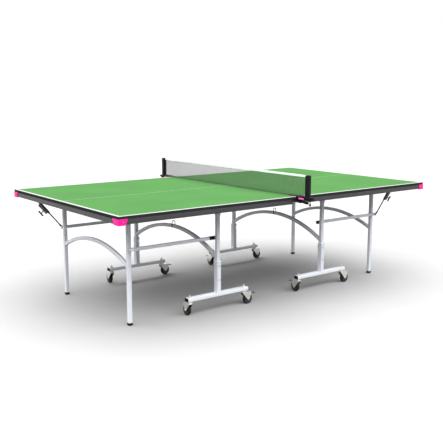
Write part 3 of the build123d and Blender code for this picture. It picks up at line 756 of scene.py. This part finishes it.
def stay_rod(mesh):
    """The rod that slides in the stay's tube, and the flattened eye at its foot."""
    rod_r, eye_r, eye_half, rod_top, rod_foot = 4.5 * MM, 9 * MM, 2.5 * MM, 296 * MM, 20 * MM
    along_stay(STAY_LONG - rod_top, STAY_LONG - rod_foot, [
        (3.6 * MM, 0), (rod_r, 0.004), (rod_r, 0.9), (rod_r, 1)
    ])(mesh)
    part = bmesh.new()
    outline = arc(-STAY_LONG, 0, eye_r, 70, 290, 16) + [
        (-STAY_LONG + 14 * MM, -6.6 * MM), (-STAY_LONG + 27 * MM, -5 * MM),
        (-STAY_LONG + 27 * MM, 5 * MM), (-STAY_LONG + 14 * MM, 6.6 * MM),
    ]
    plate(part, outline, 2 * eye_half, standing(-eye_half), 0.8 * MM)
    add(mesh, part, STAY_PLACE)


# ---- castors: drawn with the stem on the Z axis and the wheel trailing along +X ----
WHEEL_R, TRAIL, FORK_IN, FORK_OUT = 37.5 * MM, 35 * MM, 13 * MM, 15.5 * MM
WHEEL_AXLE = at(TRAIL, 0, WHEEL_R) @ Matrix.Rotation(-math.pi / 2, 4, "X")


def fork(mesh):
    """Pressed steel: two tapering cheeks under a crown with a raised ball race."""
    cheek = [(-18, 87), (-17.4, 79), (-9, 71)]
    cheek += arc(TRAIL / MM, WHEEL_R / MM, 11, 207, 333, 10)
    cheek += [(60, 72), (60, 82), (56, 87)]
    outline = [(x * MM, z * MM) for x, z in cheek]
    for side in (-1, 1):
        plate(mesh, outline, FORK_OUT - FORK_IN, standing(side * FORK_IN, side), 0.5 * MM)
    crown = [(-18, -15.5), (45, -15.5), (52, -12), (52, 12), (45, 15.5), (-18, 15.5), (-19, 0)]
    outline = eased([(x * MM, y * MM) for x, y in crown], 6 * MM)
    plate(mesh, outline, 3.5 * MM, at(0, 0, 84 * MM), 1.2 * MM)
    turned(mesh, [(15 * MM, 86 * MM), (19 * MM, 87 * MM), (19 * MM, 90.5 * MM), (17.5 * MM, 92 * MM),
                  (17.5 * MM, 93 * MM), (18.6 * MM, 93.6 * MM), (17 * MM, 94.6 * MM), (0, 94.6 * MM)])


def axle(mesh):
    """A hexagon-headed bolt and nut with washers."""
    for side in (-1, 1):
        place = WHEEL_AXLE @ Matrix.Scale(side, 4, (0, 0, 1))
        turned(mesh, [(4 * MM, 11 * MM), (8.2 * MM, FORK_OUT), (8.2 * MM, FORK_OUT + 0.9 * MM),
                      (5 * MM, FORK_OUT + 1.1 * MM)], place, 24)
        turned(mesh, [(5 * MM, FORK_OUT), (6.6 * MM, FORK_OUT + 1 * MM), (6.6 * MM, FORK_OUT + 3 * MM),
                      (5.6 * MM, FORK_OUT + 3.5 * MM)], place, 6)


def tyre(mesh):
    """A rubber tyre with rounded shoulders and two shallow grooves."""
    profile = [(28, -9), (29.5, -10.6), (33, -11), (35.4, -10.2), (37, -8), (37.4, -5.6), (36.9, -5),
               (36.9, -4.4), (37.5, -3.8), (37.5, 3.8), (36.9, 4.4), (36.9, 5), (37.4, 5.6), (37, 8),
               (35.4, 10.2), (33, 11), (29.5, 10.6), (28, 9)]
    rings = []
    for k in range(64):
        a = FULL_TURN * k / 64
        rings.append([
            WHEEL_AXLE @ Vector((r * MM * math.cos(a), r * MM * math.sin(a), w * MM)) for r, w in profile
        ])
    skin(mesh, rings, closed=True)


def hub(mesh):
    """A moulded hub: rim, ribbed web and boss."""
    turned(mesh, [(24 * MM, -2 * MM), (24.5 * MM, -8.6 * MM), (28.2 * MM, -9.2 * MM), (28.2 * MM, 9.2 * MM),
                  (24.5 * MM, 8.6 * MM), (24 * MM, 2 * MM)], WHEEL_AXLE, 48)
    turned(mesh, [(5 * MM, -12.4 * MM), (9 * MM, -12.4 * MM), (10 * MM, -11.4 * MM), (10 * MM, 11.4 * MM),
                  (9 * MM, 12.4 * MM), (5 * MM, 12.4 * MM)], WHEEL_AXLE, 32)
    for k in range(8):
        part = bmesh.new()
        block(part, (9 * MM, -1.2 * MM, -7 * MM), (25 * MM, 1.2 * MM, 7 * MM), 0.5 * MM, 2)
        add(mesh, part, WHEEL_AXLE @ Matrix.Rotation(FULL_TURN * k / 8, 4, "Z"))


def pedal(mesh):
    """A brake pedal: a hinge barrel and a ribbed tread that slopes down behind the wheel."""
    barrel = at(52 * MM, 0, 78 * MM) @ Matrix.Rotation(-math.pi / 2, 4, "X")
    turned(mesh, [(3.4 * MM, -12.5 * MM), (4 * MM, -12 * MM), (4 * MM, 12 * MM), (3.4 * MM, 12.5 * MM)],
           barrel, 16)
    tread = [(50, 81), (66, 78.6), (93, 71), (93.5, 67.5), (91, 66.4), (64, 74.4), (50, 76.4)]
    pad = [(67, 78.6), (91, 72), (93.2, 70.4), (92, 66.6), (66, 74)]
    for corners, half_wide, edge in ((tread, 11 * MM, 0.4 * MM), (pad, 16 * MM, 1 * MM)):
        outline = eased([(x * MM, z * MM) for x, z in corners], 1.5 * MM, 3)
        plate(mesh, outline, 2 * half_wide, standing(-half_wide), edge)
    slope, pad_top, first, gap = 7 / 25, 78.2 * MM, 71 * MM, 5.6 * MM
    for k in range(4):
        x = first + gap * k
        z = pad_top - (x - 67 * MM) * slope
        block(mesh, (x - 1 * MM, -14 * MM, z - 1 * MM), (x + 1 * MM, 14 * MM, z + 0.9 * MM), 0.6 * MM, 2)


# ---- net set: drawn for the rear side ----
NET_X = (mesh_low.x + mesh_high.x) / 2
POST_HALF, POST_DEEP = 13 * MM, 32 * MM
CLAMP_TOP, CLAMP_LOW = posts_low.z, 744 * MM
CLAMP_IN, CLAMP_OUT = HALF_WIDTH + 1.7 * MM, 900 * MM
CLAMP_SIDES = (-13 * MM, 22 * MM)
TONGUE_TIP, TONGUE_SIDES = 669 * MM, (5 * MM, 19 * MM)
STRIP_ENDS = (791 * MM, 842 * MM)
LEVER_PIN_Y, LEVER_PIN_Z = 773 * MM, 736 * MM
HEIGHT_SCREW_Y = 888 * MM
MESH_PITCH, STRAND = 7 * MM, 0.95 * MM


def strand(mesh, path, radius, sides=4):
    tube_along(mesh, path, circle(radius, sides), (1, 0, 0))


def net_mesh(mesh):
    """A net: cords up and across, woven over and under, and a heavier cord along the bottom."""
    top, bottom, far = tape_low.z + 2 * MM, mesh_low.z, mesh_high.y
    edge, over, clear = CLAMP_TOP + 2 * MM, 0.12 * MM, 1 * MM
    columns = round(2 * far / MESH_PITCH)
    rows = math.floor((top - bottom) / MESH_PITCH)
    pitch = 2 * far / columns
    wander = {(c, r): (chance.uniform(-0.5, 0.5) * MM, chance.uniform(-0.4, 0.4) * MM)
              for c in range(columns + 1) for r in range(rows + 1)}

    def low_at(y):
        """The net's foot: higher where it passes over the clamps."""
        return edge if abs(y) > HALF_WIDTH - 2 * MM else bottom

    def cord(knots, weave):
        """The points of the knots that are clear of the net's foot, woven over and under."""
        path = []
        for c, r in knots:
            dy, dz = wander[c, r]
            y, z = -far + c * pitch + (0 if c in (0, columns) else dy), top - r * MESH_PITCH + dz
            if z > low_at(y) + clear:
                path.append((NET_X + (weave if (c + r) % 2 else -weave), y, z))
        return path

    for c in range(columns + 1):
        path = cord([(c, r) for r in range(rows + 1)], over)
        last_y = path[-1][1]
        strand(mesh, path + [(NET_X, last_y, low_at(last_y) + 0.6 * MM)], STRAND)
    for r in range(rows + 1):
        strand(mesh, cord([(c, r) for c in range(columns + 1)], -over), STRAND)
    hem = [(NET_X, -far, edge + 1 * MM), (NET_X, -HALF_WIDTH + 1 * MM, edge + 1 * MM),
           (NET_X, -HALF_WIDTH + 3 * MM, bottom + 1.2 * MM), (NET_X, 0, bottom + 1.1 * MM),
           (NET_X, HALF_WIDTH - 3 * MM, bottom + 1.2 * MM), (NET_X, HALF_WIDTH - 1 * MM, edge + 1 * MM),
           (NET_X, far, edge + 1 * MM)]
    strand(mesh, hem, 1.05 * MM, 8)


def net_tape(mesh):
    """White tape folded over the top cord, hanging down both sides of the net."""
    far, low, drawn_high, narrow = tape_high.y, tape_low.z, 14, 0.93 * MM
    section = [(-1.1, 0), (-1.35, 5), (-1.5, 9.6), (-1.5, 11.4), (-1.25, 13), (-0.6, 13.9), (0, 14.0),
               (0.6, 13.9), (1.25, 13), (1.5, 11.4), (1.5, 9.6), (1.35, 5), (1.1, 0), (0.45, 0),
               (0.5, 5), (0, 7), (-0.5, 5), (-0.45, 0)]
    deep = (tape_high.z - low) / drawn_high
    steps, rings = 180, []
    for k in range(steps + 1):
        y = -far + 2 * far * k / steps
        sway = 0.12 * MM * math.sin(y * 21) * math.sin(y * 7.3)
        ring = []
        for u, v in section:
            drop = 0.25 * MM * math.sin(y * 33 + u) * (1 - v / drawn_high)
            ring.append((NET_X + u * narrow + sway, y, low + max(v * deep + drop, 0)))
        rings.append(ring)
    skin(mesh, rings)


def tape_stitches(mesh):
    """A row of stitches along the tape, on both faces."""
    far, gap, half_long, z = tape_high.y - 4 * MM, 5 * MM, 1.7 * MM, tape_low.z + 2.6 * MM
    for face in (-1, 1):
        x = NET_X + face * 1.2 * MM
        for k in range(int(2 * far / gap)):
            y = -far + gap * (k + 0.5)
            path = [(x, y - half_long, z), (x + face * 0.22 * MM, y, z), (x, y + half_long, z)]
            strand(mesh, path, 0.22 * MM)


def post(mesh):
    """A square post with rounded corners, a groove round its top and a domed cap."""
    deep, top = POST_DEEP / 2, posts_high.z
    mid = posts_high.y - deep
    rings = []
    for z, inset in ((CLAMP_TOP, 0), (top - 7 * MM, 0), (top - 6.6 * MM, 0.5 * MM), (top - 6 * MM, 0.5 * MM),
                     (top - 5.6 * MM, 0), (top - 2 * MM, 0), (top - 0.5 * MM, 1 * MM), (top, 3 * MM)):
        rings.append([(u * (1 - inset / POST_HALF), mid + v * (1 - inset / deep), z)
                      for u, v in rounded(2 * POST_HALF, 2 * deep, 3 * MM)])
    skin(mesh, rings)


def clamp_body(mesh):
    """The clamp: a ribbed body beside the board, a tongue on it, lever cheeks and the cord's cleat."""
    x0, x1 = CLAMP_SIDES
    a, b = TONGUE_SIDES
    block(mesh, (x0, CLAMP_IN, CLAMP_LOW), (x1, CLAMP_OUT, CLAMP_TOP), 3 * MM)
    block(mesh, (a, TONGUE_TIP, TABLE_TOP + 0.3 * MM), (b, CLAMP_IN + 6 * MM, TABLE_TOP + 6 * MM), 2 * MM)
    for y in (700 * MM, 716 * MM, 732 * MM, 748 * MM):
        block(mesh, (a + 1 * MM, y - 1.5 * MM, TABLE_TOP + 4 * MM),
              (b - 1 * MM, y + 1.5 * MM, TABLE_TOP + 6.7 * MM), 0.6 * MM, 2)
    for near, far in ((1.6 * MM, 4.6 * MM), (19.4 * MM, x1)):
        block(mesh, (near, CLAMP_IN, LEVER_PIN_Z - 7 * MM), (far, LEVER_PIN_Y + 8 * MM, CLAMP_LOW + 2 * MM),
              1 * MM, 2)
    turned(mesh, [(6 * MM, 0), (6 * MM, 12 * MM), (4.2 * MM, 13.5 * MM), (4.2 * MM, 19 * MM),
                  (6 * MM, 20.5 * MM), (6 * MM, 24.6 * MM), (5.2 * MM, 25.4 * MM)],
           facing(at(0, CLAMP_OUT - 1 * MM, CLAMP_LOW + 13 * MM), "+Y"), 24)
    for y in (858 * MM, 866 * MM, 874 * MM):
        block(mesh, (x0 - 0.6 * MM, y - 1.2 * MM, CLAMP_LOW + 3 * MM),
              (x0 + 2 * MM, y + 1.2 * MM, CLAMP_TOP - 3 * MM), 0.5 * MM, 2)
    turned(mesh, [(2.5 * MM, 0), (4 * MM, 0.6 * MM), (4 * MM, 1.4 * MM), (3 * MM, 2 * MM)],
           facing(at(x1 - 0.4 * MM, LEVER_PIN_Y, LEVER_PIN_Z), "+X"), 16)


def clamp_insert(mesh):
    """The coloured strip let into the clamp, a little proud."""
    inner, outer = STRIP_ENDS
    block(mesh, (inserts_low.x - 0.3 * MM, inner, inserts_low.z), (inserts_high.x, outer, inserts_high.z),
          2 * MM)


def clamp_lever(mesh):
    """The sprung jaw under the board, with its squeeze handle ribbed underneath."""
    jaw = [(703, 740.5), (748, 740.5), (752, 738.5), (773, 741), (790, 740), (852, 730), (861, 722),
           (858, 716), (848, 715), (790, 724), (773, 728), (706, 731), (703, 733)]
    outline = eased([(y * MM, z * MM) for y, z in jaw], 2.5 * MM, 3)
    a, b = TONGUE_SIDES
    plate(mesh, outline, b - a, Matrix(((0, 0, 1, a), (1, 0, 0, 0), (0, 1, 0, 0), (0, 0, 0, 1))), 0.8 * MM)
    for k in range(6):
        from_bend = 7 + 9 * k
        y, z = (790 + from_bend) * MM, (724.4 - 0.155 * from_bend) * MM
        block(mesh, (a + 1 * MM, y - 1.6 * MM, z - 1.3 * MM), (b - 1 * MM, y + 1.6 * MM, z + 2 * MM),
              0.7 * MM, 2)
    block(mesh, (a + 0.5 * MM, 705 * MM, 738 * MM), (b - 0.5 * MM, 746 * MM, 740.9 * MM), 0.9 * MM, 2)


def height_screw(mesh):
    """A thumb screw: threaded shaft and a fluted knob."""
    thread = [((2.95 if k % 2 else 2.5) * MM, (1 + 0.5 * k) * MM) for k in range(60)]
    turned(mesh, [(2.6 * MM, 0)] + thread + [(2.5 * MM, 32 * MM)], at(0, HEIGHT_SCREW_Y, 720 * MM), 14)
    rings = []
    for z, scale in ((708, 0.72), (709.4, 0.95), (710.5, 1), (719, 1), (720.6, 0.95), (722, 0.66)):
        ring = []
        for k in range(48):
            a = FULL_TURN * k / 48
            radius = 7 * MM * scale * (1 - 0.07 * (0.5 + 0.5 * math.cos(12 * a)))
            ring.append((radius * math.cos(a), HEIGHT_SCREW_Y + radius * math.sin(a), z * MM))
        rings.append(ring)
    skin(mesh, rings)


# ---- put it together ----
for half, turn in HALVES:
    def own(name, draw, look, node, hides=True):
        piece(f"{half}_{name}", draw, look, f"{half}_{node}", hides, turn)

    finish_node(f"{half}_board", BOARD, 0.5 * MM)
    finish_node(f"{half}_corner_guards", GUARD, 1 * MM)
    finish_node(f"{half}_hinge_brackets", BLACK_PAINT, 0.4 * MM)
    finish_node(f"{half}_trolley_bolts", ZINC, 0.5 * MM)
    finish_node(f"{half}_link_bolts", ZINC, 0.6 * MM)
    own("rail_set", rails, RAIL, "board_rails")
    own("rail_plugs", rail_plugs, PLASTIC, "board_rails", False)
    own("rail_screws", rail_screws, ZINC, "board_rails", False)
    own("guard_screws", guard_screws, ZINC, "corner_guards", False)
    own("trolley_tubes", trolley_frame, LEG, "trolley_frame")
    # the wire is a little darker than the legs, and its black paint also stands in for the shade it lies in
    # under the table: partly painted shade
    own("wire_bail", wire_bail, BLACK_PAINT, "trolley_frame", False)
    own("trolley_leg_caps", lambda m: leg_caps(m, TROLLEY_X, TROLLEY_Y), PLASTIC,
        "trolley_frame", False)
    own("trolley_beams", trolley_feet, LEG, "trolley_feet")
    own("beam_plugs", beam_caps, PLASTIC, "beam_caps")
    own("sleeve_collars", collars, LEG, "beam_caps", False)
    own("end_leg_tubes", end_frame, LEG, "end_legs")
    own("end_leg_caps", lambda m: leg_caps(m, END_X, END_Y), PLASTIC, "end_legs", False)
    own("rubber_feet", ferrules, RUBBER, "leg_ferrules")
    own("link_tubes", links, LEG, "link_bars")
    own("link_sockets", link_sockets, PLASTIC, "link_bars", False)
    own("stay_outer", stay_tube, BLACK_PAINT, "stay_sleeve")
    own("stay_latch_housing", stay_latch, GREY_PLASTIC, "stay_sleeve", False)
    own("stay_inner", stay_rod, BLACK_PAINT, "stay_rod")
    own("stay_pull", stay_knob, PLASTIC, "stay_knob")

# in the photo half of the castors trail across the table, and the others along it
CROSSWISE, LENGTHWISE = math.radians(84), math.radians(5)
for half, sign in (("right", 1), ("left", -1)):
    for reach, stem_x in zip(("inner", "outer"), STEMS_X):
        trailing = CROSSWISE if (reach == "inner") == (sign > 0) else LENGTHWISE
        for side, y in (("front", -TROLLEY_Y), ("rear", TROLLEY_Y)):
            name = f"{half}_{reach}_{side}"
            place = at(sign * stem_x, y, 0) @ Matrix.Rotation(trailing, 4, "Z")
            piece(f"{name}_fork_press", fork, CASTOR, f"{name}_fork", turn=place)
            piece(f"{name}_axle", axle, ZINC, f"{name}_fork", False, place)
            piece(f"{name}_tyre", tyre, RUBBER, f"{name}_wheel", turn=place)
            piece(f"{name}_hub", hub, HUB, f"{name}_wheel", False, place)
            if reach == "inner":
                piece(f"{name}_pedal", pedal, PLASTIC, f"{name}_brake_pedal", turn=place)

net = piece("net_cords", net_mesh, CORD, "net_mesh", smooth=60)
tape = piece("net_top_tape", net_tape, TAPE, "net_tape")
stitches = piece("tape_stitches", tape_stitches, THREAD, "net_tape", False)
piece("net_post_pair", lambda m: both_sides(m, post), PLASTIC, "net_posts")
piece("clamp_bodies", lambda m: both_sides(m, clamp_body), PLASTIC, "net_clamps")
piece("clamp_strips", lambda m: both_sides(m, clamp_insert), STRIP, "clamp_inserts")
for side, mirror in (("rear", None), ("front", MIRROR_Y)):
    piece(f"{side}_clamp_handle", clamp_lever, PLASTIC, f"{side}_clamp_lever", turn=mirror)
    piece(f"{side}_thumb_screw", height_screw, PLASTIC, f"{side}_height_screw", turn=mirror)


# ---- floor, light and camera ----
def floor():
    look = Look("floor_white", {"Specular IOR Level": 0.1})
    dark, light = linear(155, 155, 155), linear(159, 159, 159)
    look.colour(look.mixed(look.ranged(look.noise(1.2, 3), 0, 1), dark, light))
    look.rough(look.ranged(look.noise(3, 3), 0.75, 0.85))
    data, reach = bpy.data.meshes.new("floor"), 400
    data.from_pydata(
        [(-reach, -reach, 0), (reach, -reach, 0), (reach, reach, 0), (-reach, reach, 0)], [], [(0, 1, 2, 3)]
    )
    data.materials.append(look.made)
    made = bpy.data.objects.new("floor", data)
    bpy.context.scene.collection.objects.link(made)
    made.visible_diffuse = False


def camera():
    lens, place = 57.47, (-3.298, -4.187, 1.414)
    heading, dip = 0.647, 0.158
    data = bpy.data.cameras.new("camera")
    data.sensor_width, data.lens = 36, lens
    data.shift_x, data.shift_y = 0.0198, -0.0239
    data.clip_start, data.clip_end = 0.1, 1000
    made = bpy.data.objects.new("camera", data)
    made.location = place
    made.rotation_euler = (math.pi / 2 - dip, 0, -heading)
    bpy.context.scene.collection.objects.link(made)
    bpy.context.scene.camera = made


def studio():
    """A white room: brightest high up and towards the camera, white round the horizon, dim below it."""
    world = bpy.data.worlds.new("studio")
    world.use_nodes = True
    tree = world.node_tree
    nodes, links = tree.nodes, tree.links
    place, axes = nodes.new("ShaderNodeTexCoord"), nodes.new("ShaderNodeSeparateXYZ")
    to_front = nodes.new("ShaderNodeVectorMath")
    height, ramp = nodes.new("ShaderNodeMapRange"), nodes.new("ShaderNodeValToRGB")
    links.new(place.outputs["Generated"], axes.inputs[0])
    links.new(place.outputs["Generated"], to_front.inputs[0])
    to_front.operation = "DOT_PRODUCT"
    to_front.inputs[1].default_value = (-0.62, -0.785, 0)
    up, lean = axes.outputs["Z"], 0.5
    high_front = maths(tree, "MULTIPLY", to_front.outputs["Value"], maths(tree, "MULTIPLY", up, up))
    links.new(maths(tree, "MULTIPLY_ADD", high_front, lean, up), height.inputs["Value"])
    height.inputs["From Min"].default_value = -1
    links.new(height.outputs["Result"], ramp.inputs["Fac"])
    brightest = 4.6
    levels = ((0, 0.12), (0.482, 0.12), (0.49, 1), (0.665, 1), (0.685, 0.4), (0.74, 0.4), (0.8, brightest),
              (1, brightest))
    stops = ramp.color_ramp.elements
    while len(stops) < len(levels):
        stops.new(0.5)
    for stop, (at_height, level) in zip(stops, levels):
        stop.position, stop.color = at_height, (level / brightest,) * 3 + (1,)
    background = nodes["Background"]
    links.new(ramp.outputs["Color"], background.inputs["Color"])
    background.inputs["Strength"].default_value = brightest
    bpy.context.scene.world = world
    bpy.context.scene.view_settings.view_transform = "Standard"


floor()
studio()
camera()
